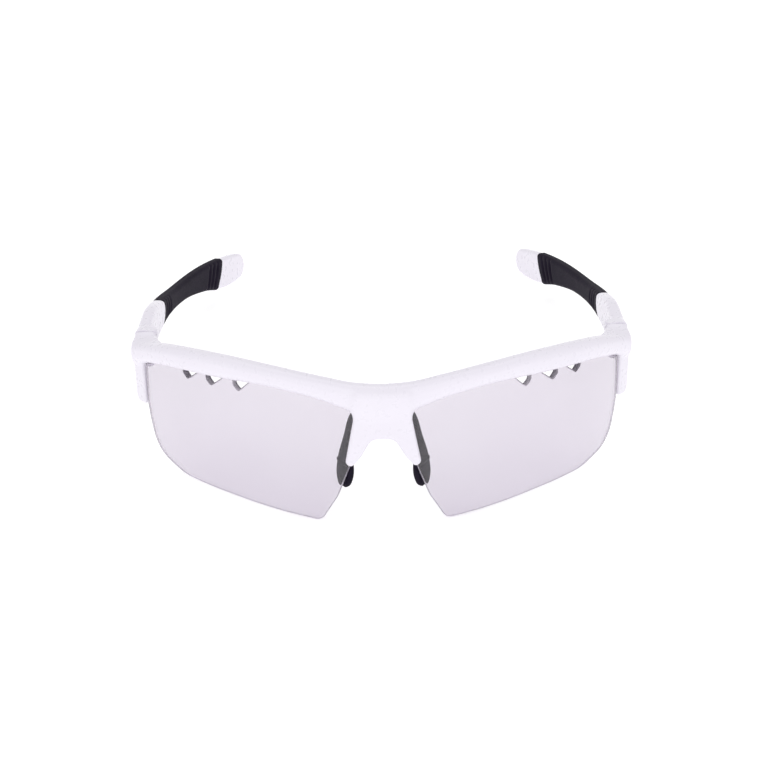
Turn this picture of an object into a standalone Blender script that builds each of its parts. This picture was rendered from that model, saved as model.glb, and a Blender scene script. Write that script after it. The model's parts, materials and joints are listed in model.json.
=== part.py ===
"""Half-rim wraparound sports glasses with two clear lenses and folding temples.

The glasses are drawn as they are worn: +X is the wearer's left, -Y is forward, +Z is up, and the
origin is the middle of the brow. The front is designed flat, as if unrolled, in the coordinates
(u, depth, z): u runs along the wrap, depth runs from the lens front towards the face, z is up.
wrap_point() then rolls it round the head. At the end the whole pair is tipped back on an empty,
so that it rests on the lens bottoms and the temple tips, as on a table.

All design numbers are millimetres; vertices are written in metres.
"""
import math

import bmesh
import bpy
from mathutils import Matrix, Vector

MM = 0.001
GAP = 0.3                    # clearance between neighbouring pieces

# Front
WRAP_RADIUS = 85.0           # plan radius of the lens front
LENS_TILT = math.radians(8.0)
CROWN_RADIUS = 260.0         # vertical roundness of the lenses
CROWN_HEIGHT = -18.0         # height at which the lens front stands furthest forward
LENS_THICKNESS = 2.0
LENS_HIDDEN = 2.4            # lens height held in the brow groove
LENS_END = 76.9              # u of the outer lens edge
BROW_FRONT = -2.2            # depth of the brow's front and back
BROW_BACK = 4.0
BROW_END = 78.6

# Hinges and temples
BUTT_Y = 40.2                # rear faces of the end pieces
OUTER_X = 70.2               # outer side of the straight temple stretch
ARM_THICKNESS = 3.8
TIP_THICKNESS = 3.4
PIVOT = Vector((66.4, 43.0, 0.0))
LUG_RADIUS = 2.4
LUG_LOW = (-5.0, -2.9)       # heights of the lower lug, the tongue, the upper lug and the cap
TONGUE = (-2.6, 0.2)
LUG_HIGH = (0.5, 2.5)
CAP = (2.8, 4.3)
SCREW_RADIUS = 0.7
HEAD_RADIUS = 1.6
HEAD_HEIGHT = 0.9
INSERT_RADIUS = 1.35
STRAIGHT_END = 60.0          # y at which the temple starts to bend inwards
TEMPLE_END = 157.5
CORE_SIZE = (1.0, 3.2)       # thickness and height of the temple core
CORE_START = 54.0            # y of the core's ends
CORE_END = 150.0
GROOVE_PITCH = 3.2
GROOVE_DEPTH = 0.45

REST_TILT = math.radians(13.28)

MATERIALS = {
    "frame_white": ((0.89, 0.87, 0.91), 0.28, 0.0),
    "lens_clear": ((0.80, 0.75, 0.83), 0.04, 0.0),
    "rubber_black": ((0.030, 0.026, 0.033), 0.62, 0.0),
    "spring_steel": ((0.60, 0.60, 0.62), 0.30, 1.0),
    "screw_steel": ((0.68, 0.68, 0.70), 0.25, 1.0),
    "brass": ((0.76, 0.57, 0.28), 0.32, 1.0),
}


# ---------------------------------------------------------------- scene

def clear_scene():
    for obj in list(bpy.data.objects):
        bpy.data.objects.remove(obj)


def make_collection(name):
    collection = bpy.data.collections.new(name)
    bpy.context.scene.collection.children.link(collection)
    return collection


def make_material(name):
    colour, roughness, metallic = MATERIALS[name]
    material = bpy.data.materials.new(name)
    material.use_nodes = True
    shader = material.node_tree.nodes["Principled BSDF"]
    shader.inputs["Base Color"].default_value = (*colour, 1.0)
    shader.inputs["Roughness"].default_value = roughness
    shader.inputs["Metallic"].default_value = metallic
    return material


def make_empty(name, location, parent=None):
    empty = bpy.data.objects.new(name, None)
    empty.empty_display_size = 5 * MM
    empty.location = location * MM
    empty.parent = parent
    parts.objects.link(empty)
    return empty


def make_object(name, bm, parent, material=None, origin=Vector()):
    """Turn a bmesh drawn in millimetres into an object whose parent sits at origin."""
    bmesh.ops.translate(bm, vec=-origin, verts=bm.verts)
    bmesh.ops.scale(bm, vec=(MM, MM, MM), verts=bm.verts)
    bmesh.ops.recalc_face_normals(bm, faces=bm.faces)
    mesh = bpy.data.meshes.new(name)
    bm.to_mesh(mesh)
    bm.free()
    obj = bpy.data.objects.new(name, mesh)
    obj.parent = parent
    if material is None:
        obj.hide_render = True
        obj.display_type = "WIRE"
        cutters.objects.link(obj)
        return obj
    mesh.materials.append(materials[material])
    mesh.shade_smooth()
    mesh.set_sharp_from_angle(angle=math.radians(35))
    parts.objects.link(obj)
    return obj


def boolean(obj, operation, tools):
    for tool in tools:
        modifier = obj.modifiers.new(f"{operation} {tool.name}", "BOOLEAN")
        modifier.operation = operation
        modifier.object = tool


def mirrored(bm, side):
    """Reflect a body drawn for the wearer's left when side is -1."""
    if side < 0:
        bmesh.ops.scale(bm, vec=(-1, 1, 1), verts=bm.verts)
        bmesh.ops.reverse_faces(bm, faces=bm.faces)
    return bm


# ---------------------------------------------------------------- curves

def smooth(keys):
    """A smooth function through (position, value) keys, level beyond both ends."""
    slopes = []
    for i in range(len(keys)):
        before = keys[max(i - 1, 0)]
        after = keys[min(i + 1, len(keys) - 1)]
        slopes.append((after[1] - before[1]) / (after[0] - before[0]))

    def value(at):
        at = min(max(at, keys[0][0]), keys[-1][0])
        i = max(k for k in range(len(keys) - 1) if keys[k][0] <= at)
        (x0, y0), (x1, y1) = keys[i], keys[i + 1]
        step = x1 - x0
        t = (at - x0) / step
        return ((1 + 2 * t) * (1 - t) ** 2 * y0 + t * (1 - t) ** 2 * step * slopes[i]
                + t * t * (3 - 2 * t) * y1 + t * t * (t - 1) * step * slopes[i + 1])

    return value


# Upper and lower edge of the brow bar, along u, and the run of the temple, along y.
brow_top = smooth([(0, -0.5), (8, 0.0), (16, 1.4), (30, 3.6), (44, 5.0), (60, 5.1), (72, 4.0), (78, 2.6),
                   (84, 0.8)])
brow_low = smooth([(0, -9.0), (8, -7.6), (18, -4.2), (31, -1.8), (44, -1.2), (64, -1.0), (76, -2.2),
                   (84, -2.6)])
temple_x = smooth([(STRAIGHT_END, OUTER_X), (85, 69.2), (105, 66.6), (125, 62.3), (140, 57.8),
                   (158, 51.1)])
temple_top = smooth([(46, 4.6), (60, 6.2), (76, 5.0), (96, 3.6), (125, 3.5), (145, 2.8), (158, 1.6)])
temple_low = smooth([(46, -5.4), (60, -3.8), (76, -2.6), (105, -2.8), (126, -5.2), (142, -8.2),
                     (158, -7.2)])


def rounded(corners, steps=4):
    """Points of a closed outline from (x, y, radius) corners, each corner rounded by an arc."""
    points = []
    count = len(corners)
    for i, (x, y, radius) in enumerate(corners):
        here = Vector((x, y))
        back = Vector(corners[i - 1][:2]) - here
        ahead = Vector(corners[(i + 1) % count][:2]) - here
        if radius <= 0:
            points.append(here)
            continue
        half = back.angle(ahead) / 2
        reach = min(radius / math.tan(half), back.length * 0.48, ahead.length * 0.48)
        radius = reach * math.tan(half)
        centre = here + (back.normalized() + ahead.normalized()).normalized() * radius / math.sin(half)
        start = here + back.normalized() * reach - centre
        end = here + ahead.normalized() * reach - centre
        first = math.atan2(start.y, start.x)
        sweep = (math.atan2(end.y, end.x) - first + math.pi) % (2 * math.pi) - math.pi
        for k in range(steps + 1):
            angle = first + sweep * k / steps
            points.append(centre + Vector((math.cos(angle), math.sin(angle))) * radius)
    return points


def lean(z):
    """How far the wrapped surface lies back at a height, from its tilt and its crown."""
    crown = ((z - CROWN_HEIGHT) ** 2 - CROWN_HEIGHT ** 2) / (2 * CROWN_RADIUS)
    return -z * math.tan(LENS_TILT) + crown


def wrap_point(u, depth, z):
    angle = u / WRAP_RADIUS
    radius = WRAP_RADIUS - depth
    return Vector((radius * math.sin(angle), WRAP_RADIUS - radius * math.cos(angle) + lean(z), z))


# ---------------------------------------------------------------- bodies

def prism(outline, low, high, axis):
    """A closed body: an outline pushed from low to high along one axis (0 = X, 1 = Y, 2 = Z)."""
    bm = bmesh.new()
    for level in (low, high):
        loop = []
        for a, b in outline:
            place = [a, b]
            place.insert(axis, level)
            loop.append(bm.verts.new(place))
        bm.faces.new(loop)
    bm.verts.ensure_lookup_table()
    count = len(outline)
    for i in range(count):
        j = (i + 1) % count
        bm.faces.new([bm.verts[k] for k in (i, j, j + count, i + count)])
    bmesh.ops.recalc_face_normals(bm, faces=bm.faces)
    return bm


def slab(outline, front, back, along=5.0, up=9.0):
    """A plate with a flat (u, z) outline between two depths, rolled round the wrap."""
    bm = prism(outline, front, back, 1)
    for axis, pitch in ((0, along), (2, up)):
        low = min(v.co[axis] for v in bm.verts)
        high = max(v.co[axis] for v in bm.verts)
        for k in range(math.ceil(low / pitch), math.floor(high / pitch) + 1):
            place = Vector()
            place[axis] = k * pitch
            normal = Vector()
            normal[axis] = 1
            everything = bm.verts[:] + bm.edges[:] + bm.faces[:]
            bmesh.ops.bisect_plane(bm, geom=everything, dist=1e-3, plane_co=place, plane_no=normal)
    bmesh.ops.triangulate(bm, faces=bm.faces)
    for vert in bm.verts:
        vert.co = wrap_point(*vert.co)
    return bm


def loft(rings):
    """A closed body through rings with equal point counts."""
    bm = bmesh.new()
    loops = [[bm.verts.new(point) for point in ring] for ring in rings]
    for lower, upper in zip(loops[:-1], loops[1:]):
        for i in range(len(lower)):
            j = (i + 1) % len(lower)
            bm.faces.new((lower[i], lower[j], upper[j], upper[i]))
    bm.faces.new(reversed(loops[0]))
    bm.faces.new(loops[-1])
    bmesh.ops.recalc_face_normals(bm, faces=bm.faces)
    return bm


def oval(half_a, half_b, power, count):
    """Points round a superellipse: power 2 is an ellipse, more is boxier."""
    points = []
    for i in range(count):
        angle = 2 * math.pi * i / count
        cos, sin = math.cos(angle), math.sin(angle)
        points.append((half_a * math.copysign(abs(cos) ** (2 / power), cos),
                       half_b * math.copysign(abs(sin) ** (2 / power), sin)))
    return points


def cylinder(radius, low, high, centre, segments=20):
    bm = bmesh.new()
    place = Matrix.Translation(Vector((centre.x, centre.y, (low + high) / 2)))
    bmesh.ops.create_cone(bm, cap_ends=True, segments=segments, radius1=radius, radius2=radius,
                          depth=high - low, matrix=place)
    return bm


def box(low, high):
    low, high = Vector(low), Vector(high)
    bm = bmesh.new()
    bmesh.ops.create_cube(bm, size=1, matrix=Matrix.Translation((low + high) / 2)
                          @ Matrix.Diagonal((high - low).to_4d()))
    return bm


def strip(path, thickness, width, across):
    """A flat strip swept along a path; across is the direction of its width."""
    rings = []
    for i, point in enumerate(path):
        run = (path[min(i + 1, len(path) - 1)] - path[max(i - 1, 0)]).normalized()
        thin = run.cross(across).normalized() * thickness / 2
        wide = thin.normalized().cross(run) * width / 2
        rings.append([point + thin + wide, point - thin + wide, point - thin - wide, point + thin - wide])
    return loft(rings)


# ---------------------------------------------------------------- lenses

VENTS = ((36.6, 41.3, -4.0), (44.9, 50.2, -3.6), (53.6, 58.6, -3.1))     # inner u, outer u, bottom


def lens_outline(grow=0.0):
    """Front outline of a lens: down the nose, along the cheek, up the side, back along the brow."""
    corners = [(5.6, -6.8, 1.5), (9.0 - grow, -24.2, 12), (12.4, -33.2, 12), (17.2, -41.2 - grow, 2.6),
               (27.0, -39.6 - grow, 30), (44.0, -36.4 - grow, 40), (61.0, -33.8 - grow, 14),
               (73.4, -28.4 - grow, 12), (LENS_END + grow, -15.0, 30), (LENS_END - 0.6 + grow, -4.6, 3.0)]
    points = rounded(corners)[4:]
    held = LENS_HIDDEN + grow
    top = [(u, brow_low(u) + held) for u in (76 + grow, 70, 64)]
    for inner, outer, bottom in reversed(VENTS):
        edge = inner - 1.2
        top.append((outer, brow_low(outer) + held))
        if not grow:
            top += [(outer, bottom + 1.7), (outer - 0.3, bottom + 0.9), (outer - 0.9, bottom + 0.25),
                    (outer - 1.5, bottom), (outer - 2.0, bottom + 0.2), (inner, brow_low(inner)),
                    (edge, brow_low(inner) + 1.2)]
        top.append((edge, brow_low(edge) + held))
    top += [(u, brow_low(u) + held) for u in (27, 18, 12, 8.4)]
    return [tuple(p) for p in points] + top


def make_lens(side, name):
    bm = mirrored(slab(lens_outline(), 0, LENS_THICKNESS), side)
    return make_object(name, bm, stand, "lens_clear")


# ---------------------------------------------------------------- front frame

def brow_bar():
    """The brow as one loft from end to end, with rounded ends."""
    half_depth = (BROW_BACK - BROW_FRONT) / 2
    middle = (BROW_BACK + BROW_FRONT) / 2
    half = [4.0 * k for k in range(int(BROW_END / 4) + 1)]
    stations = [(u, 1.0) for u in half] + [(BROW_END + 1.8, 0.86), (BROW_END + 2.8, 0.55)]
    stations = [(-u, size) for u, size in reversed(stations[1:])] + stations
    rings = []
    for u, size in stations:
        top, low = brow_top(abs(u)), brow_low(abs(u))
        ring = oval(half_depth * size, (top - low) / 2 * size, 2.7, 18)
        rings.append([wrap_point(u, middle + a, (top + low) / 2 + b) for a, b in ring])
    return loft(rings)


def bridge_outline():
    """The bridge below the brow, with a leg down each side of the nose."""
    half = [(6.2, -3.0, 0), (7.5, -8.6, 6), (10.1, -22.6, 1.6), (8.4, -23.8, 1.4), (5.8, -20.6, 5),
            (2.9, -15.3, 3.2)]
    return rounded(half + [(-u, z, radius) for u, z, radius in reversed(half)])


def side_tab(side):
    """The tab of the end piece beside the outer edge of a lens."""
    inner = LENS_END + GAP
    corners = [(inner, 1.5, 0), (inner, -15.6, 1.6), (82.6, -15.6, 3.0), (82.9, 1.5, 0)]
    return mirrored(slab(rounded(corners), -0.4, LENS_THICKNESS + 0.7), side)


def end_block(side):
    """The block that turns the corner from the brow into the hinge; its top rises towards the arm."""
    inner = PIVOT.x - LUG_RADIUS
    plan = rounded([(inner, 38.4, 3.0), (61.4, 34.4, 1.0), (65.8, 32.4, 1.0), (OUTER_X, 35.4, 2.4),
                    (OUTER_X, BUTT_Y + 2, 0), (inner, BUTT_Y + 2, 0)])
    bm = prism(plan, -6.2, 2.2, 2)
    rims = [e for e in bm.edges if abs(e.verts[0].co.z - e.verts[1].co.z) < 0.01]
    for vert in bm.verts:
        if vert.co.z > 0:
            vert.co.z += 0.4 * (vert.co.y - 34.4)
    bmesh.ops.bevel(bm, geom=rims, offset=0.9, segments=2, profile=0.5, affect="EDGES")
    return mirrored(bm, side)


def lug(side, low, high):
    """A hinge lug: a round eye on a neck that stands on the end piece."""
    angles = [math.pi * k / 10 for k in range(11)]
    eye = [(PIVOT.x + LUG_RADIUS * math.cos(a), PIVOT.y + LUG_RADIUS * math.sin(a)) for a in angles]
    neck = [(PIVOT.x - LUG_RADIUS, BUTT_Y - 2.0), (PIVOT.x + LUG_RADIUS, BUTT_Y - 2.0)]
    return mirrored(prism(eye + neck, low, high, 2), side)


def core_path():
    """Middle of the bendable strip, from inside the bridge to the lower part of a nose pad."""
    return [Vector(p) for p in ((2.4, 3.0, -11.6), (4.6, 4.4, -11.8), (6.6, 6.2, -12.6), (8.3, 7.8, -14.6),
                                (9.2, 8.8, -18.0), (9.9, 9.8, -22.0), (10.4, 10.4, -26.0))]


PAD_LONG = Vector((0.42, 0.907, 0.0)).normalized()      # a pad's long direction in plan
PAD_THIN = Vector((0.907, -0.42, 0.0)).normalized()


def pad_core(side, grow=0.0):
    path = core_path()
    if grow:
        path[0] += (path[0] - path[1]).normalized() * grow
        path[-1] += (path[-1] - path[-2]).normalized() * grow
    return mirrored(strip(path, 0.8 + 2 * grow, 2.2 + 2 * grow, PAD_LONG), side)


def make_front():
    frame = make_object("front_frame", brow_bar(), stand, "frame_white")
    solids = [make_object("bridge_body", slab(bridge_outline(), -2.1, -GAP, 4.0, 4.0), stand)]
    heart = rounded([(4.6, -6.0, 0), (4.6, -15.0, 1.5), (-4.6, -15.0, 1.5), (-4.6, -6.0, 0)])
    solids.append(make_object("bridge_heart", slab(heart, -1.5, 5.0), stand))
    trims, lugs, cuts = [], [], []
    for side, label in SIDES:
        solids.append(make_object(f"{label}_tab", side_tab(side), stand))
        solids.append(make_object(f"{label}_end_block", end_block(side), stand))
        trim = mirrored(box((58, BUTT_Y, -25), (80, 60, 12)), side)
        trims.append(make_object(f"{label}_rear_trim", trim, stand))
        for level, (low, high) in (("low", LUG_LOW), ("high", LUG_HIGH)):
            lugs.append(make_object(f"{label}_lug_{level}", lug(side, low, high), stand))
        groove = mirrored(slab(lens_outline(GAP), -GAP, LENS_THICKNESS + GAP), side)
        cuts.append(make_object(f"{label}_lens_groove", groove, stand))
        bore = mirrored(cylinder(SCREW_RADIUS + GAP, LUG_LOW[0] - 1, LUG_LOW[1] + 1, PIVOT), side)
        cuts.append(make_object(f"{label}_screw_bore", bore, stand))
        seat = mirrored(cylinder(INSERT_RADIUS + GAP, LUG_HIGH[0] - 1, LUG_HIGH[1] + 1, PIVOT), side)
        cuts.append(make_object(f"{label}_insert_bore", seat, stand))
        cuts.append(make_object(f"{label}_pad_slot", pad_core(side, GAP), stand))
    boolean(frame, "UNION", solids)
    boolean(frame, "DIFFERENCE", trims)
    boolean(frame, "UNION", lugs)
    boolean(frame, "DIFFERENCE", cuts)


# ---------------------------------------------------------------- nose pads

pad_half_length = smooth([(-32.8, 1.4), (-31.4, 2.8), (-28.4, 4.0), (-24.6, 3.7), (-18.0, 2.4), (-12.0, 1.75),
                          (-8.4, 0.5)])
pad_half_width = smooth([(-32.8, 0.7), (-31.4, 1.3), (-28.4, 1.6), (-24.6, 1.45), (-18.0, 1.2), (-12.0, 1.05),
                         (-8.4, 0.4)])
pad_x = smooth([(-32.8, 10.7), (-28.0, 10.4), (-22.0, 9.9), (-14.6, 8.5), (-8.4, 7.4)])
pad_y = smooth([(-32.8, 11.6), (-28.0, 11.2), (-22.0, 10.1), (-14.6, 8.2), (-8.4, 6.2)])


def make_pad(side, label):
    rings = []
    for z in (-32.8, -32.3, -31.4, -29.6, -27, -24, -21, -18, -15, -12, -9.6, -8.4):
        centre = Vector((pad_x(z), pad_y(z), z))
        ring = oval(pad_half_length(z), pad_half_width(z), 2.4, 14)
        rings.append([centre + PAD_LONG * a + PAD_THIN * b for a, b in ring])
    pad = make_object(f"{label}_nose_pad", mirrored(loft(rings), side), stand, "rubber_black")
    boolean(pad, "DIFFERENCE", [make_object(f"{label}_pad_socket", pad_core(side, GAP), stand)])
    make_object(f"{label}_nose_pad_core", pad_core(side), stand, "spring_steel")


# ---------------------------------------------------------------- temples

def temple_loft(stations, thickness, corner=1.3):
    """A body along the temple. Each (y, inset, squeeze) station is a rounded rectangle behind the outer
    face, made thinner by inset on its inner side and lower by squeeze."""
    rings = []
    for y, inset, squeeze in stations:
        run = Vector((temple_x(y + 0.5) - temple_x(y - 0.5), 1.0, 0.0)).normalized()
        inward = Vector((-run.y, run.x, 0.0))
        top, low = temple_top(y), temple_low(y)
        half = (top - low) / 2 * squeeze
        deep = thickness - inset
        reach = min(corner, half * 0.8, thickness * 0.4)
        section = rounded([(0, half, reach), (deep, half, reach), (deep, -half, reach), (0, -half, reach)], 3)
        base = Vector((temple_x(y), y, (top + low) / 2))
        rings.append([base + inward * a + Vector((0, 0, b)) for a, b in section])
    return loft(rings)


def plain(*places):
    """Stations with the full section."""
    return [(y, 0, 1.0) for y in places]


def arm_end(grow=0.0):
    """Side view of the white arm's rounded end, as a body across the temple."""
    centre_y, centre_z, half_y, half_z = 62.0, 2.0, 13.0 + grow, 5.6 + grow
    angles = [math.pi * k / 16 for k in range(17)]
    curve = [(centre_y + half_y * math.sin(a), centre_z + half_z * math.cos(a)) for a in angles]
    return prism([(30.0, 14.0), (centre_y, 14.0)] + curve + [(centre_y, -14.0), (30.0, -14.0)], 50, 80, 0)


def tip_start(shift=0.0):
    """Everything behind the slanted joint between grip and tip, as a body across the temple."""
    joint = [(133.0, -14.0), (135.6, -6.5), (138.2, -2.5), (139.6, 1.0), (140.0, 5.0), (140.0, 14.0)]
    return prism([(y + shift, z) for y, z in joint] + [(175.0, 14.0), (175.0, -14.0)], 30, 80, 0)


def core_body(start, end, grow=0.0):
    """The stiff strip inside the temple, midway between its faces."""
    thickness, height = CORE_SIZE
    count = 14
    path = []
    for k in range(count + 1):
        y = start + (end - start) * k / count
        path.append(Vector((temple_x(y) - ARM_THICKNESS / 2, y, (temple_top(y) + temple_low(y)) / 2)))
    return strip(path, thickness + 2 * grow, height + 2 * grow, Vector((0, 0, 1)))


def make_temple(side, label):
    """The arm, grip, tip and core of one temple, on an empty on its hinge axis."""
    hub = Vector((PIVOT.x * side, PIVOT.y, 0))
    hinge = make_empty(f"{label}_hinge_axis", hub, stand)

    def piece(name, bm, material):
        return make_object(f"{label}_{name}", mirrored(bm, side), hinge, material, hub)

    def tool(name, bm):
        return piece(name, bm, None)

    make_arm(piece, tool)
    make_grip(piece, tool)
    make_tip(piece, tool)
    piece("temple_core", core_body(CORE_START + GAP, CORE_END), "spring_steel")


def make_arm(piece, tool):
    """The white arm: a tongue and a cap turn on the pivot, and a thin wall hides the lugs outside."""
    stations = plain(BUTT_Y + GAP, 46, STRAIGHT_END, 64, 68, 72, 78)
    arm = piece("temple_arm", temple_loft(stations, ARM_THICKNESS), "frame_white")
    reach = LUG_RADIUS + GAP
    top = LUG_HIGH[1] + GAP
    corner = box((PIVOT.x - 8, PIVOT.y - 6, -9), (PIVOT.x + reach, PIVOT.y, top))
    web = box((PIVOT.x, PIVOT.y - 1.6, TONGUE[0] + 0.01), (OUTER_X - 0.5, PIVOT.y + 4.5, TONGUE[1] - 0.01))
    bore = cylinder(SCREW_RADIUS + GAP, TONGUE[0] - 1, TONGUE[1] + 1, PIVOT)
    boolean(arm, "INTERSECT", [tool("arm_end", arm_end())])
    boolean(arm, "DIFFERENCE", [tool("hinge_pocket_eye", cylinder(reach, -9, top, PIVOT, 24)),
                                tool("hinge_pocket_corner", corner)])
    boolean(arm, "UNION", [tool("tongue_disc", cylinder(LUG_RADIUS, *TONGUE, PIVOT, 24)),
                           tool("cap_disc", cylinder(LUG_RADIUS, *CAP, PIVOT, 24)),
                           tool("tongue_web", web)])
    boolean(arm, "DIFFERENCE", [tool("tongue_bore", bore),
                                tool("arm_core_slot", core_body(CORE_START, 90, GAP))])


def make_grip(piece, tool):
    """The rubber sleeve, with three shallow grooves across its inner face near each end."""
    stations = plain(60, 66, 72, 78, 96, 103, 110, 117, 122, 138, 142)
    for first in (80.5, 126.0):
        for k in range(3):
            y = first + GROOVE_PITCH * k
            stations += [(y, 0, 1.0), (y + 0.8, GROOVE_DEPTH, 1.0), (y + 1.6, 0, 1.0)]
    grip = piece("temple_grip", temple_loft(sorted(stations), ARM_THICKNESS), "rubber_black")
    boolean(grip, "DIFFERENCE", [tool("grip_front", arm_end(GAP)),
                                 tool("grip_rear", tip_start(-GAP)),
                                 tool("grip_core_slot", core_body(CORE_START, 152, GAP))])


def make_tip(piece, tool):
    rounding = [(153, 0.1, 0.95), (155.3, 0.4, 0.83), (156.8, 0.9, 0.64), (TEMPLE_END, 1.6, 0.4)]
    tip = piece("temple_tip", temple_loft(plain(131, 136, 141, 146, 150) + rounding, TIP_THICKNESS),
                "frame_white")
    boolean(tip, "INTERSECT", [tool("tip_joint", tip_start())])
    boolean(tip, "DIFFERENCE", [tool("tip_core_slot", core_body(120, CORE_END + GAP, GAP))])


def make_hinge_hardware(side, label):
    under = LUG_LOW[0] - GAP
    screw = cylinder(SCREW_RADIUS, under - 0.4, LUG_HIGH[1] - 0.4, PIVOT)
    screw = make_object(f"{label}_hinge_screw", mirrored(screw, side), stand, "screw_steel")
    head = cylinder(HEAD_RADIUS, under - HEAD_HEIGHT, under, PIVOT, 24)
    head = make_object(f"{label}_screw_head", mirrored(head, side), stand)
    slot = box((PIVOT.x - 3, PIVOT.y - 0.25, under - 2), (PIVOT.x + 3, PIVOT.y + 0.25, under - 0.5))
    slot = make_object(f"{label}_screw_slot", mirrored(slot, side), stand)
    boolean(screw, "UNION", [head])
    boolean(screw, "DIFFERENCE", [slot])
    insert = cylinder(INSERT_RADIUS, LUG_HIGH[0] + 0.1, LUG_HIGH[1] - 0.1, PIVOT)
    insert = make_object(f"{label}_hinge_insert", mirrored(insert, side), stand, "brass")
    bore = mirrored(cylinder(SCREW_RADIUS + GAP, 0, 6, PIVOT), side)
    boolean(insert, "DIFFERENCE", [make_object(f"{label}_insert_thread", bore, stand)])


# ---------------------------------------------------------------- assembly

def set_down(empty):
    """Tip the pair back and move it so that it rests on z = 0, centred on the origin."""
    empty.rotation_euler.x = -REST_TILT
    bpy.context.view_layer.update()
    depsgraph = bpy.context.evaluated_depsgraph_get()
    corners = []
    for obj in parts.objects:
        if obj.type == "MESH":
            shape = obj.evaluated_get(depsgraph)
            corners += [shape.matrix_world @ vert.co for vert in shape.data.vertices]
    low = Vector([min(c[i] for c in corners) for i in range(3)])
    high = Vector([max(c[i] for c in corners) for i in range(3)])
    empty.location = -Vector(((low.x + high.x) / 2, (low.y + high.y) / 2, low.z))


SIDES = ((1, "left"), (-1, "right"))

clear_scene()
parts = make_collection("sports_protective_goggles")
cutters = make_collection("cutters")
materials = {name: make_material(name) for name in MATERIALS}
stand = make_empty("stand", Vector())

make_front()
for side, label in SIDES:
    make_lens(side, f"{label}_lens")
    make_pad(side, label)
    make_hinge_hardware(side, label)
    make_temple(side, label)
set_down(stand)
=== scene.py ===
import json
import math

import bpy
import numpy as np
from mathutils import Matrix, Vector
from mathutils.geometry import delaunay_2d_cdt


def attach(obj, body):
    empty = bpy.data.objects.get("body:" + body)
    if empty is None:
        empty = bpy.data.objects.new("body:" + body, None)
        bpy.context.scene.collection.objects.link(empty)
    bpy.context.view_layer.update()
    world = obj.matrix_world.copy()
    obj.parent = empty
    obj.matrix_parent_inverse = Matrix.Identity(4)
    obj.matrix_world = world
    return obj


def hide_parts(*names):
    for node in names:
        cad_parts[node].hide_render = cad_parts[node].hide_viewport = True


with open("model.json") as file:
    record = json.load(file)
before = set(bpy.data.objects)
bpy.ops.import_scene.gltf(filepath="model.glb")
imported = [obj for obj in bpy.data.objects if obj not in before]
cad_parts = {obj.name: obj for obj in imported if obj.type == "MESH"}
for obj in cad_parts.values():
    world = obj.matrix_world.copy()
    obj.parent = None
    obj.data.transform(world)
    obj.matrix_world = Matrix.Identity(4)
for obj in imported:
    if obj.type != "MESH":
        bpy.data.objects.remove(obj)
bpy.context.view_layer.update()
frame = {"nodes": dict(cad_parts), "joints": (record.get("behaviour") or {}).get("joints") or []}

# The looks of the half-rim sports glasses: moulded white frame, clear lilac lenses, black rubber.
#
# Every moulded piece is described by a field: a function of position that is negative inside the
# piece, zero on its surface and roughly a distance in millimetres elsewhere. Fields can be joined and
# cut with rounded edges, and polygonize() turns one into an even mesh of quads.
#
# Pieces are drawn as the glasses are worn, in millimetres: +X is the wearer's left, -Y is forward, +Z
# is up, and the origin is the middle of the brow. The front is drawn unrolled, in (u, depth, z), and
# the temples are drawn straight, in (y, inward, z). stand_matrix() then sets them down on the table.

MM = 0.001
GAP = 0.3                    # clearance between neighbouring pieces
SIDES = ((1, "left"), (-1, "right"))

# Front
WRAP_RADIUS = 85.0
LENS_TILT = math.radians(8.0)
CROWN_RADIUS = 260.0
CROWN_HEIGHT = -18.0
LENS_THICKNESS = 2.0
LENS_HIDDEN = 2.4            # lens height held in the brow groove
LENS_END = 76.9
BROW_FRONT = -2.2
BROW_BACK = 4.0
BROW_END = 81.4

# Hinges and temples
BUTT_Y = 40.2                # rear faces of the end pieces
OUTER_X = 70.2               # outer side of the straight temple stretch
ARM_THICKNESS = 3.8
TIP_THICKNESS = 3.4
PIVOT_X, PIVOT_Y = 66.4, 43.0
LUG_RADIUS = 2.4
LUG_LOW = (-5.0, -2.9)       # heights of the lower lug, the tongue, the upper lug and the cap
TONGUE = (-2.6, 0.2)
LUG_HIGH = (0.5, 2.5)
CAP = (2.8, 4.3)
SCREW_RADIUS = 0.7
INSERT_RADIUS = 1.35
STRAIGHT_END = 60.0
TEMPLE_END = 157.5
CORE_THICKNESS, CORE_HEIGHT = 1.0, 3.2
CORE_START, CORE_END = 54.0, 150.0
ARM_SLOT_END, GRIP_SLOT_END = 90.0, 152.0     # the core's slot runs on past the end of the piece
TIP_START, TIP_TAPER_START = 120.0, 146.0
THROUGH = 1.0                # how far a bore's tool runs past the lug or tongue

# End block between the brow and the hinge lugs
BLOCK_INNER_X = 64.0
BLOCK_FRONT_Y = 34.4
BLOCK_TOP, BLOCK_TOP_RISE = 2.0, 0.4          # height above BLOCK_FRONT_Y and its slope towards the back
BLOCK_LOW, BLOCK_LOW_RISE = -5.6, 0.48        # height at BUTT_Y and its slope towards the front


# ---------------------------------------------------------------- curves

def smooth(keys):
    """A smooth function through (position, value) keys, level beyond both ends."""
    places, values = np.array(keys, dtype=float).T
    slopes = []
    for i in range(len(keys)):
        before, after = max(i - 1, 0), min(i + 1, len(keys) - 1)
        slopes.append((values[after] - values[before]) / (places[after] - places[before]))
    slopes = np.array(slopes)

    def value(at):
        at = np.clip(at, places[0], places[-1])
        i = np.clip(np.searchsorted(places, at, side="right") - 1, 0, len(keys) - 2)
        step = places[i + 1] - places[i]
        t = (at - places[i]) / step
        return ((1 + 2 * t) * (1 - t) ** 2 * values[i] + t * (1 - t) ** 2 * step * slopes[i]
                + t * t * (3 - 2 * t) * values[i + 1] + t * t * (t - 1) * step * slopes[i + 1])

    return value


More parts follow.
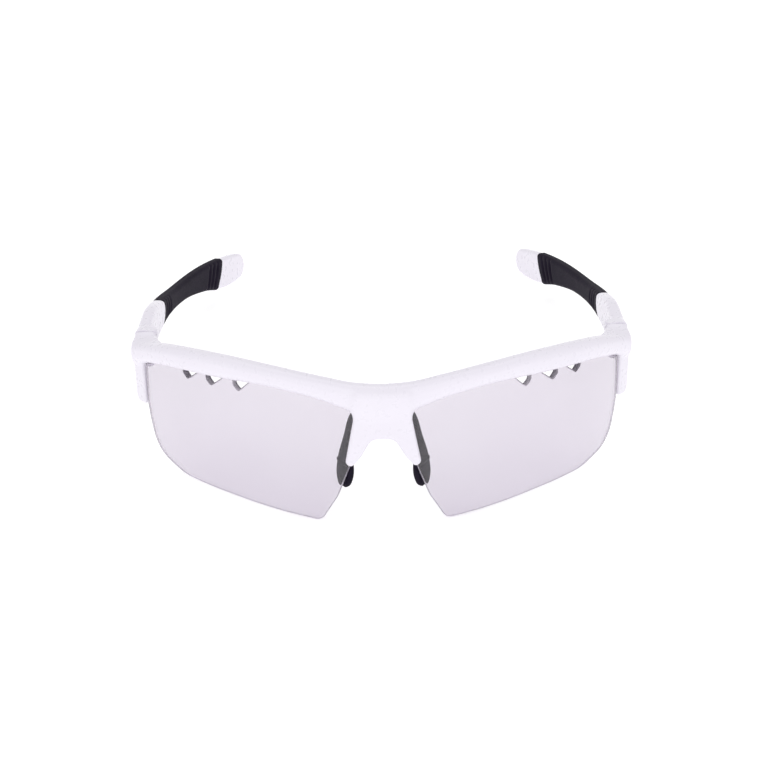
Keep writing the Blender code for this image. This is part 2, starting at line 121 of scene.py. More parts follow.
brow_top = smooth([(0, -0.5), (8, 0.0), (16, 1.4), (30, 3.6), (44, 5.0), (60, 5.1), (72, 4.0), (78, 2.6),
                   (84, 0.8)])
brow_low = smooth([(0, -9.0), (8, -7.6), (18, -4.2), (31, -1.8), (44, -1.2), (64, -1.0), (76, -2.2),
                   (84, -2.6)])
temple_x = smooth([(STRAIGHT_END, OUTER_X), (85, 69.2), (105, 66.6), (125, 62.3), (140, 57.8),
                   (158, 51.1)])
temple_top = smooth([(46, 4.6), (60, 6.2), (76, 5.0), (96, 3.6), (125, 3.5), (145, 2.8), (158, 1.6)])
temple_low = smooth([(46, -5.4), (60, -3.8), (76, -2.6), (105, -2.8), (126, -5.2), (142, -8.2),
                     (158, -7.2)])


def rounded(corners, steps=6):
    """Points of a closed outline from (x, y, radius) corners, each corner rounded by an arc."""
    points = []
    count = len(corners)
    for i, (x, y, radius) in enumerate(corners):
        here = Vector((x, y))
        back = Vector(corners[i - 1][:2]) - here
        ahead = Vector(corners[(i + 1) % count][:2]) - here
        if radius <= 0:
            points.append(tuple(here))
            continue
        half = back.angle(ahead) / 2
        reach = min(radius / math.tan(half), back.length * 0.48, ahead.length * 0.48)
        radius = reach * math.tan(half)
        centre = here + (back.normalized() + ahead.normalized()).normalized() * radius / math.sin(half)
        start = here + back.normalized() * reach - centre
        end = here + ahead.normalized() * reach - centre
        first = math.atan2(start.y, start.x)
        sweep = (math.atan2(end.y, end.x) - first + math.pi) % (2 * math.pi) - math.pi
        for k in range(steps + 1):
            angle = first + sweep * k / steps
            points.append(tuple(centre + Vector((math.cos(angle), math.sin(angle))) * radius))
    return points


def lean(z):
    """How far the wrapped surface lies back at a height, from its tilt and its crown."""
    crown = ((z - CROWN_HEIGHT) ** 2 - CROWN_HEIGHT ** 2) / (2 * CROWN_RADIUS)
    return -z * math.tan(LENS_TILT) + crown


def wrap(u, depth, z):
    """Worn place of a point of the unrolled front."""
    angle = u / WRAP_RADIUS
    radius = WRAP_RADIUS - depth
    return radius * np.sin(angle), WRAP_RADIUS - radius * np.cos(angle) + lean(z), z


def along_temple(y, inward, z):
    """Worn place of a point of the straightened left temple."""
    slope = temple_x(y + 0.5) - temple_x(y - 0.5)
    length = np.sqrt(1 + slope * slope)
    return temple_x(y) - inward / length, y + inward * slope / length, z


def as_worn(x, y, z):
    return x, y, z


def stand_matrix():
    """From the worn place in millimetres to the table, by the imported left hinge."""
    hinge = next(joint for joint in frame["joints"] if joint["name"] == "left_temple_hinge")
    axis = Vector(hinge["axis"])
    tip_back = Matrix.Rotation(-math.atan2(axis.y, axis.z), 4, "X")
    hub = Matrix.Translation((-PIVOT_X * MM, -PIVOT_Y * MM, 0.0))
    return Matrix.Translation(Vector(hinge["pos_m"])) @ tip_back @ hub @ Matrix.Scale(MM, 4)


STAND = stand_matrix()


# ---------------------------------------------------------------- fields

def fuse(a, b, fillet):
    """Both bodies, with a fillet where they meet."""
    share = np.clip(0.5 + 0.5 * (b - a) / fillet, 0, 1)
    return b + (a - b) * share - fillet * share * (1 - share)


def common(a, b, edge):
    """What two bodies share, with a rounded edge."""
    return -fuse(-a, -b, edge)


def cut(body, tool, edge=0.2):
    """A body without what the tool holds, with a rounded edge."""
    return -fuse(-body, tool, edge)


def outline_field(outline, a, b):
    """Distance in the plane (a, b) to a closed outline, negative inside."""
    a, b = np.broadcast_arrays(a, b)
    nearest = np.full(a.shape, np.inf)
    inside = np.zeros(a.shape, dtype=bool)
    for (a0, b0), (a1, b1) in zip(outline, outline[1:] + outline[:1]):
        run_a, run_b = a1 - a0, b1 - b0
        share = np.clip(((a - a0) * run_a + (b - b0) * run_b) / (run_a ** 2 + run_b ** 2), 0, 1)
        nearest = np.minimum(nearest, (a - a0 - share * run_a) ** 2 + (b - b0 - share * run_b) ** 2)
        if b0 != b1:
            inside ^= ((b0 > b) != (b1 > b)) & (a < run_a * (b - b0) / run_b + a0)
    return np.where(inside, -1, 1) * np.sqrt(nearest)


def between(value, low, high):
    """A slab: how far a value lies outside a range, negative within it."""
    return np.abs(value - (low + high) / 2) - (high - low) / 2


def plate(flat, level, low, high, edge=0.5):
    """A flat field given a thickness between two levels, with rounded rims."""
    return common(flat, between(level, low, high), edge)


def post(x, y, z, radius, low, high, edge=0.2):
    """An upright cylinder on the left hinge's axis."""
    return plate(np.hypot(x - PIVOT_X, y - PIVOT_Y) - radius, z, low, high, edge)


def round_bar(a, b, half_a, half_b, power):
    """A superellipse section: power 2 is an ellipse, more is boxier."""
    size = (np.abs(a / half_a) ** power + np.abs(b / half_b) ** power) ** (1 / power)
    core = 0.2
    reach = np.maximum(np.hypot(a, b), core * np.minimum(half_a, half_b))
    return reach * (1 - 1 / np.maximum(size, core))


def round_box(a, b, half_a, half_b, corner):
    """A rectangular section with rounded corners."""
    out_a, out_b = np.abs(a) - half_a + corner, np.abs(b) - half_b + corner
    outside = np.hypot(np.maximum(out_a, 0), np.maximum(out_b, 0))
    return outside + np.minimum(np.maximum(out_a, out_b), 0) - corner


def strip(path, thickness, width, across, x, y, z):
    """A flat strip along a path of points; across is the direction of its width."""
    body = None
    for start, end in zip(path[:-1], path[1:]):
        run = end - start
        thin = run.cross(across).normalized()
        wide = thin.cross(run).normalized()
        middle = (start + end) / 2
        offsets = []
        for way, half in ((run.normalized(), run.length / 2 + 0.1), (thin, thickness / 2), (wide, width / 2)):
            along = (x - middle.x) * way.x + (y - middle.y) * way.y + (z - middle.z) * way.z
            offsets.append(np.abs(along) - half)
        piece = np.maximum(np.maximum(offsets[0], offsets[1]), offsets[2])
        body = piece if body is None else np.minimum(body, piece)
    return body


# ---------------------------------------------------------------- meshes

def slide(field, points, reach, times):
    """Move points onto the surface of a field, each time by at most reach."""
    nudge = 0.01
    for _ in range(times):
        value = field(*points.T)
        slopes = [(field(*(points + axis).T) - value) / nudge for axis in np.eye(3) * nudge]
        slope = np.stack(slopes, axis=1)
        move = slope * (value / np.maximum((slope ** 2).sum(axis=1), 0.1))[:, None]
        length = np.linalg.norm(move, axis=1)[:, None]
        points = points - move * np.minimum(1, reach / np.maximum(length, 1e-9))
    return points


def polygonize(field, low, high, step):
    """Points and quads of the surface of a field inside a box.

    Each cube of the grid that the surface crosses gets one point, and each crossed grid edge gets one
    quad between the four cubes round it. The points are then evened out and slid onto the surface."""
    axes = [np.arange(start, end + step, step) for start, end in zip(low, high)]
    grid = field(*np.ix_(*axes))
    strides = np.array([grid.shape[1] * grid.shape[2], grid.shape[2], 1])
    crossings, quads = [], []
    for axis in range(3):
        here = np.moveaxis(np.moveaxis(grid, axis, 0)[:-1], 0, axis)
        there = np.moveaxis(np.moveaxis(grid, axis, 0)[1:], 0, axis)
        nodes = np.argwhere((here < 0) != (there < 0))
        value, next_value = here[tuple(nodes.T)], there[tuple(nodes.T)]
        place = nodes.astype(float)
        place[:, axis] += value / (value - next_value)
        crossings.append(place)
        cell = nodes @ strides
        one, two = strides[(axis + 1) % 3], strides[(axis + 2) % 3]
        ring = np.stack([cell, cell - one, cell - one - two, cell - two], axis=1)
        ring[value > 0] = ring[value > 0, ::-1]
        quads.append(ring)
    crossings, quads = np.concatenate(crossings), np.concatenate(quads)
    _, flat = np.unique(quads, return_inverse=True)
    quads = flat.reshape(quads.shape)
    count = np.bincount(quads.ravel())
    sums = [np.bincount(quads.ravel(), weights=np.repeat(crossings[:, k], 4)) for k in range(3)]
    points = np.stack(sums, axis=1) / count[:, None] * step + np.array(low)
    for times in (1, 2):
        points = slide(field, (points + neighbour_mean(points, quads)) / 2, step / 2, times)
    return points, quads


def neighbour_mean(points, quads):
    """The mean of each point's neighbours along the quads' edges."""
    ends = np.concatenate([quads.ravel(), np.roll(quads, 1, axis=1).ravel()])
    others = np.concatenate([np.roll(quads, 1, axis=1).ravel(), quads.ravel()])
    count = np.bincount(ends, minlength=len(points))
    sums = [np.bincount(ends, weights=points[others, k], minlength=len(points)) for k in range(3)]
    return np.stack(sums, axis=1) / count[:, None]


def make_piece(name, body, slot, points, faces, place=as_worn, side=1):
    """A mesh piece on a body, for the CAD node of the same name; side -1 mirrors a left piece."""
    worn = np.stack(place(*np.asarray(points, dtype=float).T), axis=1) * (side, 1, 1)
    turn = np.array(STAND)
    placed = worn @ turn[:3, :3].T + turn[:3, 3]
    if side < 0:
        faces = [face[::-1] for face in faces]
    mesh = bpy.data.meshes.new(name)
    mesh.from_pydata(placed.tolist(), [], [list(face) for face in faces])
    mesh.shade_smooth()
    mesh.materials.append(materials[slot])
    piece = bpy.data.objects.new(f"{name}_shape", mesh)
    bpy.context.scene.collection.objects.link(piece)
    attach(piece, body)
    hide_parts(name)
    return piece


# ---------------------------------------------------------------- front frame

VENTS = ((36.6, 41.3, -4.0), (44.9, 50.2, -3.6), (53.6, 58.6, -3.1))     # inner u, outer u, bottom


def lens_corners(vents=()):
    """Corners of a lens: down the nose, along the cheek, up the side and back along the brow."""
    corners = [(5.6, -6.8, 1.5), (9.0, -24.2, 12), (12.4, -33.2, 12), (17.2, -41.2, 2.6), (27.0, -39.6, 30),
               (44.0, -36.4, 40), (61.0, -33.8, 14), (73.4, -28.4, 12), (LENS_END, -15.0, 30),
               (LENS_END - 0.6, -4.6, 3.0)]
    corners += [(u, float(brow_low(u)) + LENS_HIDDEN, 0.6) for u in (76, 70, 64)]
    for inner, outer, bottom in reversed(vents):
        edge = inner - 1.2
        corners += [(outer, float(brow_low(outer)) + LENS_HIDDEN, 0.5), (outer, bottom + 1.4, 1.4),
                    (outer - 1.4, bottom - 0.1, 0.5), (inner, float(brow_low(inner)) + 0.1, 0.4),
                    (edge, float(brow_low(edge)) + LENS_HIDDEN, 0.5)]
    corners += [(u, float(brow_low(u)) + LENS_HIDDEN, 0.6) for u in (27, 18, 12, 8.4)]
    return corners


BRIDGE_HALF = [(6.2, -3.0, 0), (7.5, -8.6, 6), (10.1, -22.6, 1.6), (8.4, -23.8, 1.4), (5.8, -20.6, 5),
               (2.9, -15.3, 3.2)]
BRIDGE = rounded(BRIDGE_HALF + [(-u, z, radius) for u, z, radius in reversed(BRIDGE_HALF)])
GROOVE = rounded(lens_corners(), 4)
TAB = rounded([(LENS_END + GAP, 1.5, 0), (LENS_END + GAP, -15.6, 1.6), (82.6, -15.6, 3.0), (82.9, 1.5, 0)])
END_BLOCK = rounded([(BLOCK_INNER_X, 38.4, 4.0), (61.4, BLOCK_FRONT_Y, 1.0), (65.8, 32.4, 1.0),
                     (OUTER_X, 35.4, 2.4), (OUTER_X, BUTT_Y + 2, 0), (BLOCK_INNER_X, BUTT_Y + 2, 0)], 4)
CORE_PATH = [Vector(p) for p in ((2.4, 3.0, -11.6), (4.6, 4.4, -11.8), (6.6, 6.2, -12.6), (8.3, 7.8, -14.6),
                                 (9.2, 8.8, -18.0), (9.9, 9.8, -22.0), (10.4, 10.4, -26.0))]
PAD_LONG = Vector((0.42, 0.907, 0.0)).normalized()      # a pad's long direction in plan
PAD_THIN = Vector((0.907, -0.42, 0.0)).normalized()
CORE_STRIP = (0.8 + 2 * GAP, 2.2 + 2 * GAP, PAD_LONG)   # thickness, width and width direction of its slot


def brow(side, depth, z):
    """The brow bar: a round bar whose height follows its two edges."""
    top, low = brow_top(side), brow_low(side)
    middle = (BROW_BACK + BROW_FRONT) / 2
    bar = round_bar(depth - middle, z - (top + low) / 2, (BROW_BACK - BROW_FRONT) / 2, (top - low) / 2, 2.7)
    return common(bar, side - BROW_END, 2.5)


def front(u, depth, z):
    """The frame: brow, bridge, tabs, end blocks and hinge lugs, less the groove, bores and core slots."""
    side = np.abs(u)
    x, y, _ = wrap(side, depth, z)
    bridge = plate(outline_field(BRIDGE, u, z), depth, -2.1, -GAP, 1.2)
    heart = plate(round_box(side, z + 10.5, 4.6, 4.5, 1.5), depth, -1.5, 5.0, 1.0)
    tab = plate(outline_field(TAB, side, z), depth, -0.4, LENS_THICKNESS + 0.7, 1.0)
    under = BLOCK_LOW + BLOCK_LOW_RISE * (BUTT_Y - y)
    over = BLOCK_TOP + BLOCK_TOP_RISE * (y - BLOCK_FRONT_Y)
    block = plate(outline_field(END_BLOCK, x, y), z, under, over, 1.6)
    body = fuse(brow(side, depth, z), fuse(bridge, heart, 0.8), 3.0)
    body = fuse(fuse(body, block, 4.0), tab, 1.0)
    body = common(common(body, x - OUTER_X - 0.3, 0.6), y - BUTT_Y, 0.25)
    neck = round_box(x - PIVOT_X, y - (PIVOT_Y + BUTT_Y - 2) / 2, LUG_RADIUS, (PIVOT_Y - BUTT_Y + 2) / 2, 0.1)
    lug = np.minimum(neck, np.hypot(x - PIVOT_X, y - PIVOT_Y) - LUG_RADIUS)
    for low, high in (LUG_LOW, LUG_HIGH):
        body = fuse(body, plate(lug, z, low, high, 0.3), 0.3)
    groove = outline_field(GROOVE, side, z) - GAP
    body = cut(body, plate(groove, depth, -GAP, LENS_THICKNESS + GAP, 0.2), 0.3)
    body = cut(body, post(x, y, z, SCREW_RADIUS + GAP, LUG_LOW[0] - THROUGH, LUG_LOW[1] + THROUGH))
    body = cut(body, post(x, y, z, INSERT_RADIUS + GAP, LUG_HIGH[0] - THROUGH, LUG_HIGH[1] + THROUGH))
    return cut(body, strip(CORE_PATH[:3], *CORE_STRIP, x, y, z), 0.2)


def make_front():
    points, faces = polygonize(front, (-92.25, -3.37, -25.47), (92.25, 12.0, 8.1), 0.3)
    make_piece("front_frame", "front", "frame_white", points, faces, wrap)


# ---------------------------------------------------------------- lenses

def resample(outline, spacing):
    """The same outline with no stretch longer than spacing."""
    points = []
    for start, end in zip(outline, outline[1:] + outline[:1]):
        count = max(1, math.ceil(math.dist(start, end) / spacing))
        for k in range(count):
            points.append([start[i] + (end[i] - start[i]) * k / count for i in range(2)])
    return np.array(points)


def inset(points, distance):
    """A closed anticlockwise outline moved inwards."""
    back = points - np.roll(points, 1, axis=0)
    ahead = np.roll(points, -1, axis=0) - points
    back /= np.linalg.norm(back, axis=1)[:, None]
    ahead /= np.linalg.norm(ahead, axis=1)[:, None]
    run = back + ahead
    run /= np.linalg.norm(run, axis=1)[:, None]
    inward = np.stack([-run[:, 1], run[:, 0]], axis=1)
    return points + inward * distance / np.maximum((run * ahead).sum(axis=1), 0.7)[:, None]


def lens_mesh():
    """Points, faces and rim marks of the left lens: two faces of triangles and a rounded, frosted rim."""
    edge, steps = 0.4, 4
    outline = resample(rounded(lens_corners(VENTS), 8), 0.6)
    quarter = [math.pi / 2 * k / steps for k in range(steps + 1)]
    front_rim = [(edge * (1 - math.cos(a)), edge * (1 - math.sin(a))) for a in reversed(quarter)]
    profile = [(edge + 0.3, 0.0)] + front_rim
    profile += [(move, LENS_THICKNESS - depth) for move, depth in reversed(profile)]
    points, faces = [], []
    for move, depth in profile:
        ring = inset(outline, move)
        points += [(u, depth, z) for u, z in ring]
    count = len(outline)
    for k in range(len(profile) - 1):
        for i in range(count):
            j = (i + 1) % count
            faces.append((k * count + j, k * count + i, (k + 1) * count + i, (k + 1) * count + j))
    border = inset(outline, profile[0][0])
    pitch, margin = 2.2, 0.9
    mesh_u, mesh_z = np.meshgrid(np.arange(0, 80, pitch), np.arange(-44, 8, pitch))
    room = outline_field([tuple(p) for p in border], mesh_u, mesh_z) < -margin
    inner = np.stack([mesh_u[room], mesh_z[room]], axis=1)
    sheet = [Vector(p) for p in np.concatenate([border, inner])]
    spots, _, triangles, _, _, _ = delaunay_2d_cdt(sheet, [], [list(range(count))], 1, 1e-5)
    base = len(points)
    last = (len(profile) - 1) * count
    extra = len(spots) - count
    for depth in (0.0, LENS_THICKNESS):
        points += [(spot.x, depth, spot.y) for spot in spots[count:]]
    for triangle in triangles:
        faces.append([i if i < count else base + i - count for i in triangle])
        faces.append([last + i if i < count else base + extra + i - count for i in reversed(triangle)])
    rim = np.zeros(len(points), dtype=np.float32)
    rim[2 * count:last - count] = 1.0
    return points, faces, rim


def make_lenses():
    points, faces, rim = lens_mesh()
    for side, label in SIDES:
        lens = make_piece(f"{label}_lens", "front", "lens_clear", points, faces, wrap, side)
        lens.data.attributes.new("rim", "FLOAT", "POINT").data.foreach_set("value", rim)


# ---------------------------------------------------------------- nose pads

pad_half_length = smooth([(-32.8, 1.4), (-31.4, 2.8), (-28.4, 4.0), (-24.6, 3.7), (-18.0, 2.4), (-12.0, 1.75),
                          (-8.4, 0.5)])
pad_half_width = smooth([(-32.8, 0.7), (-31.4, 1.3), (-28.4, 1.6), (-24.6, 1.45), (-18.0, 1.2), (-12.0, 1.05),
                         (-8.4, 0.4)])
pad_x = smooth([(-32.8, 10.7), (-28.0, 10.4), (-22.0, 9.9), (-14.6, 8.5), (-8.4, 7.4)])
pad_y = smooth([(-32.8, 11.6), (-28.0, 11.2), (-22.0, 10.1), (-14.6, 8.2), (-8.4, 6.2)])


def nose_pad(x, y, z):
    """A rubber pad: a slim stalk that opens into a flat lobe below a small collar."""
    off_x, off_y = x - pad_x(z), y - pad_y(z)
    long = off_x * PAD_LONG.x + off_y * PAD_LONG.y
    thin = off_x * PAD_THIN.x + off_y * PAD_THIN.y
    collar = 0.3 * np.exp(-((z + 24.6) / 0.4) ** 2)
    body = round_bar(long, thin, pad_half_length(z) + collar, pad_half_width(z) + collar, 2.4)
    body = common(body, between(z, -33.0, -8.2), 1.4)
    return cut(body, strip(CORE_PATH, *CORE_STRIP, x, y, z), 0.2)


def make_pads():
    points, faces = polygonize(nose_pad, (3.03, 3.03, -33.93), (16.0, 17.0, -7.0), 0.2)
    for side, label in SIDES:
        make_piece(f"{label}_nose_pad", "front", "rubber_black", points, faces, as_worn, side)


# ---------------------------------------------------------------- temples

joint_y = smooth([(-14.0, 133.0), (-6.5, 135.6), (-2.5, 138.2), (1.0, 139.6), (5.0, 140.0)])


def temple(y, inward, z, thickness):
    """The full section of a temple: a flat bar with rounded corners."""
    top, low = temple_top(y), temple_low(y)
    return round_box(inward - thickness / 2, z - (top + low) / 2, thickness / 2, (top - low) / 2, 1.3)


def arm_end(y, z):
    """Side view of the arm's rounded end: half an ellipse, opening slowly towards the hinge."""
    centre_y, centre_z, half_y, half_z = 62.0, 2.0, 13.0, 5.6
    behind = round_bar(y - centre_y, z - centre_z, half_y, half_z, 2)
    ahead = np.abs(z - centre_z) - half_z - 0.25 * (centre_y - y)
    return np.where(y > centre_y, behind, ahead)


def core_slot(y, inward, z, start, end):
    """The slot that holds the steel core, with clearance all round."""
    middle = (temple_top(y) + temple_low(y)) / 2
    flat = np.maximum(np.abs(inward - ARM_THICKNESS / 2) - CORE_THICKNESS / 2 - GAP,
                      np.abs(z - middle) - CORE_HEIGHT / 2 - GAP)
    return np.maximum(flat, between(y, start, end))


def arm(y, inward, z):
    """The white arm, with a tongue and a cap on the pivot and a thin wall outside the lugs."""
    x = OUTER_X - inward
    reach, top = LUG_RADIUS + GAP, LUG_HIGH[1] + GAP
    body = common(temple(y, inward, z, ARM_THICKNESS), arm_end(y, z), 0.5)
    body = common(body, BUTT_Y + GAP - y, 0.25)
    corner = np.maximum(x - PIVOT_X - reach, y - PIVOT_Y)
    pocket = np.minimum(corner, np.hypot(x - PIVOT_X, y - PIVOT_Y) - reach)
    body = cut(body, np.maximum(pocket, z - top), 0.2)
    web = np.maximum(between(x, PIVOT_X, OUTER_X - 0.5), between(y, PIVOT_Y - 1.6, PIVOT_Y + 4.5))
    tongue = np.minimum(web, np.hypot(x - PIVOT_X, y - PIVOT_Y) - LUG_RADIUS)
    body = fuse(body, plate(tongue, z, *TONGUE, 0.25), 0.3)
    body = fuse(body, post(x, y, z, LUG_RADIUS, *CAP, 0.5), 1.2)
    body = cut(body, post(x, y, z, SCREW_RADIUS + GAP, TONGUE[0] - THROUGH, TONGUE[1] + THROUGH), 0.15)
    return cut(body, core_slot(y, inward, z, CORE_START, ARM_SLOT_END), 0.15)


def ridges(y, inward, z):
    """Depth of the grip's grooves: three behind the arm's end and three ahead of the tip."""
    middle, half = (temple_top(y) + temple_low(y)) / 2, (temple_top(y) - temple_low(y)) / 2
    height = (z - middle) / half
    fade = np.clip(1.25 - 1.3 * height ** 2, 0, 1)
    depth = np.zeros(np.broadcast(y, inward, z).shape)
    for k in range(3):
        ahead = y - 79.2 - 3.0 * k + 3.2 * height ** 2
        behind = y - joint_y(z) + 4.2 + 3.2 * k
        depth = depth + 0.40 * np.exp(-(ahead / 0.62) ** 2) * fade
        depth = depth + 0.55 * np.exp(-(behind / 0.72) ** 2) * fade
    return depth * np.clip((inward - 2.0) / 1.2, 0, 1)


def grip(y, inward, z):
    """The rubber sleeve between the arm's end and the tip."""
    body = temple(y, inward, z, ARM_THICKNESS) + ridges(y, inward, z)
    body = cut(body, arm_end(y, z) - GAP, 0.25)
    body = common(body, y - joint_y(z) + GAP, 0.25)
    return cut(body, core_slot(y, inward, z, CORE_START, GRIP_SLOT_END), 0.15)


def tip(y, inward, z):
    """The white tip, rounded off towards its end."""
    top, low = temple_top(y), temple_low(y)
    late = np.clip((y - TIP_TAPER_START) / (TEMPLE_END - TIP_TAPER_START), 0, 1)
    body = temple(y, inward, z, TIP_THICKNESS)
    corner = 4.6
    height = (top - low) / 2
    middle, half = (TIP_START + TEMPLE_END) / 2, (TEMPLE_END - TIP_START) / 2
    rim = round_box(y - middle, z - (top + low) / 2, half, height, corner)
    body = common(body, rim + 0.25 * late ** 2, 1.6)
    body = common(body, joint_y(z) - y, 0.25)
    return cut(body, core_slot(y, inward, z, TIP_START, CORE_END + GAP), 0.15)


def make_temples():
    pieces = (("arm", "frame_white", arm, (39.63, -0.73, -9.07), (77.0, 7.6, 8.4), 0.2),
              ("grip", "rubber_black", grip, (57.63, -0.73, -10.47), (142.0, 5.0, 8.4), 0.24),
              ("tip", "frame_white", tip, (131.03, -0.73, -10.47), (159.0, 4.8, 6.0), 0.2))
    for name, slot, field, low, high, step in pieces:
        points, faces = polygonize(field, low, high, step)
        for side, label in SIDES:
            make_piece(f"{label}_temple_{name}", f"{label}_temple", slot, points, faces, along_temple, side)


# ---------------------------------------------------------------- materials

class Shader:
    """A new material with a Principled shader, and short calls that add nodes to it."""

    def __init__(self, name, **values):
        self.material = bpy.data.materials.new(name)
        self.material.use_nodes = True
        self.nodes = self.material.node_tree.nodes
        self.shader = self.nodes["Principled BSDF"]
        self.set(self.shader, **values)
        self.place = self.nodes.new("ShaderNodeTexCoord").outputs["Object"]

    def set(self, node, **values):
        for key, value in values.items():
            node.inputs[key.replace("_", " ")].default_value = value

    def link(self, source, target):
        self.material.node_tree.links.new(source, target)

    def noise(self, scale, detail=2.0, stretch=(1, 1, 1)):
        """A noise of so many grains a metre."""
        mapping = self.nodes.new("ShaderNodeMapping")
        mapping.inputs["Scale"].default_value = stretch
        texture = self.nodes.new("ShaderNodeTexNoise")
        self.set(texture, Scale=scale, Detail=detail)
        self.link(self.place, mapping.inputs["Vector"])
        self.link(mapping.outputs["Vector"], texture.inputs["Vector"])
        return texture.outputs["Fac"]

    def spread(self, value, low, high):
        """A value near 0.5 spread over a range."""
        spread = self.nodes.new("ShaderNodeMapRange")
        self.link(value, spread.inputs["Value"])
        self.set(spread, From_Min=0.3, From_Max=0.7, To_Min=low, To_Max=high)
        return spread.outputs["Result"]

    def tint(self, value, low, high):
        """A value near 0.5 spread over two colours."""
        mix = self.nodes.new("ShaderNodeMix")
        mix.data_type = "RGBA"
        self.link(self.spread(value, 0, 1), mix.inputs["Factor"])
        first, second = [socket for socket in mix.inputs if socket.type == "RGBA"]
        first.default_value = (*low, 1)
        second.default_value = (*high, 1)
        return next(socket for socket in mix.outputs if socket.type == "RGBA")

    def bump(self, value, height, before=None):
        """Relief of a height in metres, on top of an earlier relief."""
        bump = self.nodes.new("ShaderNodeBump")
        self.set(bump, Strength=1.0, Distance=height)
        self.link(value, bump.inputs["Height"])
        if before:
            self.link(before, bump.inputs["Normal"])
        return bump.outputs["Normal"]

    def use(self, socket, value):
        self.link(value, self.shader.inputs[socket])


def frame_white():
    """Glossy moulded nylon: a nearly even cool white, with a faint orange peel."""
    s = Shader("frame_white", IOR=1.5)
    s.use("Base Color", s.tint(s.noise(55), (0.835, 0.800, 0.885), (0.848, 0.815, 0.895)))
    s.use("Roughness", s.spread(s.noise(700), 0.26, 0.32))
    s.use("Normal", s.bump(s.noise(900), 0.0000006, s.bump(s.noise(260), 0.0000015)))
    return s.material


def lens_clear():
    """Clear polycarbonate with a lilac tint and a frosted rim; lamps shine through it."""
    s = Shader("lens_clear", IOR=1.585, Transmission_Weight=1.0)
    s.use("Base Color", s.tint(s.noise(40), (0.735, 0.705, 0.755), (0.750, 0.725, 0.770)))
    rim = s.nodes.new("ShaderNodeAttribute")
    rim.attribute_name = "rim"
    frost = s.nodes.new("ShaderNodeMapRange")
    s.set(frost, To_Min=0.01, To_Max=1.0)
    s.link(rim.outputs["Fac"], frost.inputs["Value"])
    s.use("Roughness", frost.outputs["Result"])
    output = s.nodes["Material Output"]
    tinted = s.nodes.new("ShaderNodeVolumeAbsorption")
    s.set(tinted, Color=(0.45, 0.28, 0.55, 1), Density=55.0)
    s.link(tinted.outputs["Volume"], output.inputs["Volume"])
    clear = s.nodes.new("ShaderNodeBsdfTransparent")
    s.set(clear, Color=(0.93, 0.91, 0.95, 1))
    pick = s.nodes.new("ShaderNodeMixShader")
    path = s.nodes.new("ShaderNodeLightPath")
    s.link(path.outputs["Is Shadow Ray"], pick.inputs["Fac"])
    s.link(s.shader.outputs["BSDF"], pick.inputs[1])
    s.link(clear.outputs["BSDF"], pick.inputs[2])
    s.link(pick.outputs["Shader"], output.inputs["Surface"])
    return s.material


def rubber_black():
    """Satin rubber with a fine eroded grain."""
    s = Shader("rubber_black", IOR=1.5, Specular_IOR_Level=0.05)
    s.use("Base Color", s.tint(s.noise(300), (0.011, 0.008, 0.017), (0.015, 0.011, 0.022)))
    s.use("Roughness", s.spread(s.noise(2200), 0.55, 0.68))
    s.use("Normal", s.bump(s.noise(5200, 3), 0.000008, s.bump(s.noise(1500), 0.000004)))
    return s.material


def spring_steel():
    """Stamped strip with rolling marks along it."""
    s = Shader("spring_steel", Metallic=1.0)
    streaks = s.noise(2600, 3, (1, 0.04, 1))
    s.use("Base Color", s.tint(streaks, (0.50, 0.50, 0.52), (0.66, 0.66, 0.68)))
    s.use("Roughness", s.spread(streaks, 0.26, 0.42))
    s.use("Normal", s.bump(streaks, 0.000006))
    return s.material


def turned_metal(name, dark, light, roughness):
    """Turned metal with fine tool marks round the piece."""
    s = Shader(name, Metallic=1.0)
    marks = s.noise(1200, 2, (0.15, 0.15, 6))
    s.use("Base Color", s.tint(marks, dark, light))
    s.use("Roughness", s.spread(marks, roughness, roughness + 0.14))
    s.use("Normal", s.bump(marks, 0.000005))
    return s.material


materials = {
    "frame_white": frame_white(),
    "lens_clear": lens_clear(),
    "rubber_black": rubber_black(),
    "spring_steel": spring_steel(),
    "screw_steel": turned_metal("screw_steel", (0.58, 0.58, 0.60), (0.74, 0.74, 0.76), 0.16),
    "brass": turned_metal("brass", (0.68, 0.48, 0.22), (0.82, 0.62, 0.33), 0.24),
}


def finish_hardware():
    """The screws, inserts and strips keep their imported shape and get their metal."""
    slots = {"hinge_screw": "screw_steel", "hinge_insert": "brass", "nose_pad_core": "spring_steel",
             "temple_core": "spring_steel"}
    for _, label in SIDES:
        for name, slot in slots.items():
            node = frame["nodes"][f"{label}_{name}"]
            node.data.materials.clear()
            node.data.materials.append(materials[slot])


# ---------------------------------------------------------------- stage

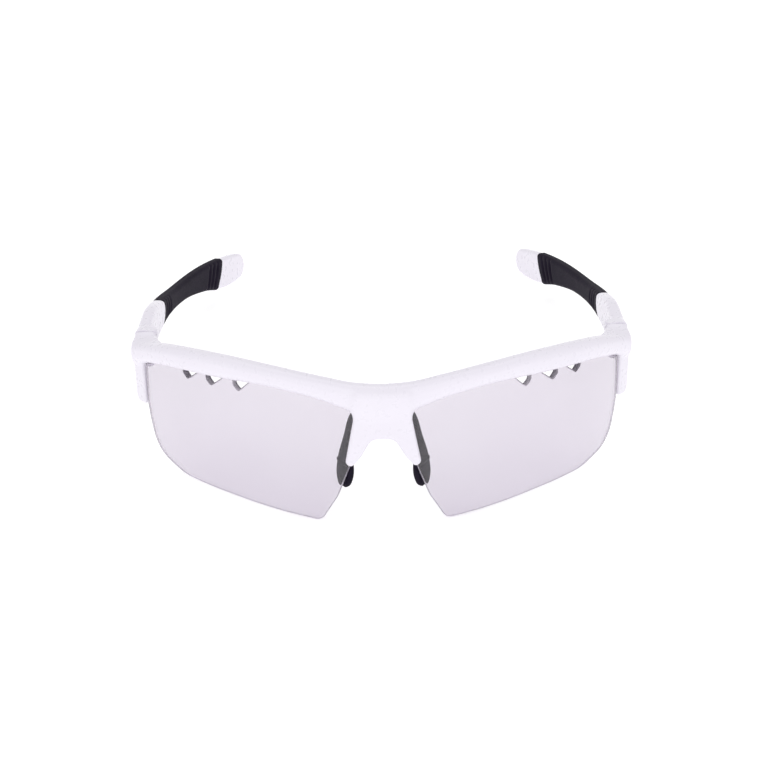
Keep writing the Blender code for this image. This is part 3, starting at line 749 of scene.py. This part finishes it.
def make_floor():
    half = 3.0
    mesh = bpy.data.meshes.new("floor")
    corners = [(-half, -half, 0), (half, -half, 0), (half, half, 0), (-half, half, 0)]
    mesh.from_pydata(corners, [], [(0, 1, 2, 3)])
    white = Shader("floor_white", Roughness=0.9, Base_Color=(0.94, 0.94, 0.94, 1))
    white.set(white.shader, Specular_IOR_Level=0.1, Emission_Color=(1, 1, 1, 1), Emission_Strength=0.32)
    mesh.materials.append(white.material)
    floor = bpy.data.objects.new("floor", mesh)
    bpy.context.scene.collection.objects.link(floor)
    white.material.cycles.emission_sampling = "NONE"


def aim(thing, place, target):
    thing.location = place
    thing.rotation_euler = (Vector(target) - Vector(place)).to_track_quat("-Z", "Y").to_euler()


def make_light(name, azimuth, elevation, distance, size, power):
    """A square soft box; azimuth 0 is in front of the glasses."""
    light = bpy.data.lights.new(name, "AREA")
    light.shape = "SQUARE"
    light.size = size
    light.energy = power
    lamp = bpy.data.objects.new(name, light)
    bpy.context.scene.collection.objects.link(lamp)
    turn, rise = math.radians(azimuth), math.radians(elevation)
    way = Vector((math.sin(turn) * math.cos(rise), -math.cos(turn) * math.cos(rise), math.sin(rise)))
    aim(lamp, way * distance, (0, 0, 0.02))


def make_world():
    world = bpy.data.worlds.new("studio")
    world.use_nodes = True
    world.node_tree.nodes["Background"].inputs["Color"].default_value = (1.0, 1.0, 1.0, 1)
    world.node_tree.nodes["Background"].inputs["Strength"].default_value = 0.76
    bpy.context.scene.world = world


def make_camera():
    """A long lens 17.4 degrees above the temples' line, aimed at the middle of the brow."""
    camera = bpy.data.cameras.new("camera")
    camera.lens = 72.0
    camera.sensor_width = 36.0
    camera.shift_x = 0.0026
    eye = bpy.data.objects.new("camera", camera)
    bpy.context.scene.collection.objects.link(eye)
    distance, elevation, roll = 400.0, math.radians(17.4), math.radians(1.0)
    place = STAND @ Vector((0, -distance * math.cos(elevation), distance * math.sin(elevation)))
    aim(eye, place, STAND @ Vector())
    eye.rotation_euler = (eye.rotation_euler.to_matrix() @ Matrix.Rotation(-roll, 3, "Z")).to_euler()
    bpy.context.scene.camera = eye


make_camera()
make_world()
make_floor()
make_light("key", 0, 42, 1.3, 1.3, 3.6)
make_light("back", 180, 60, 1.5, 1.0, 2.4)
bpy.context.scene.view_settings.view_transform = "Standard"

make_front()
make_lenses()
make_pads()
make_temples()
finish_hardware()
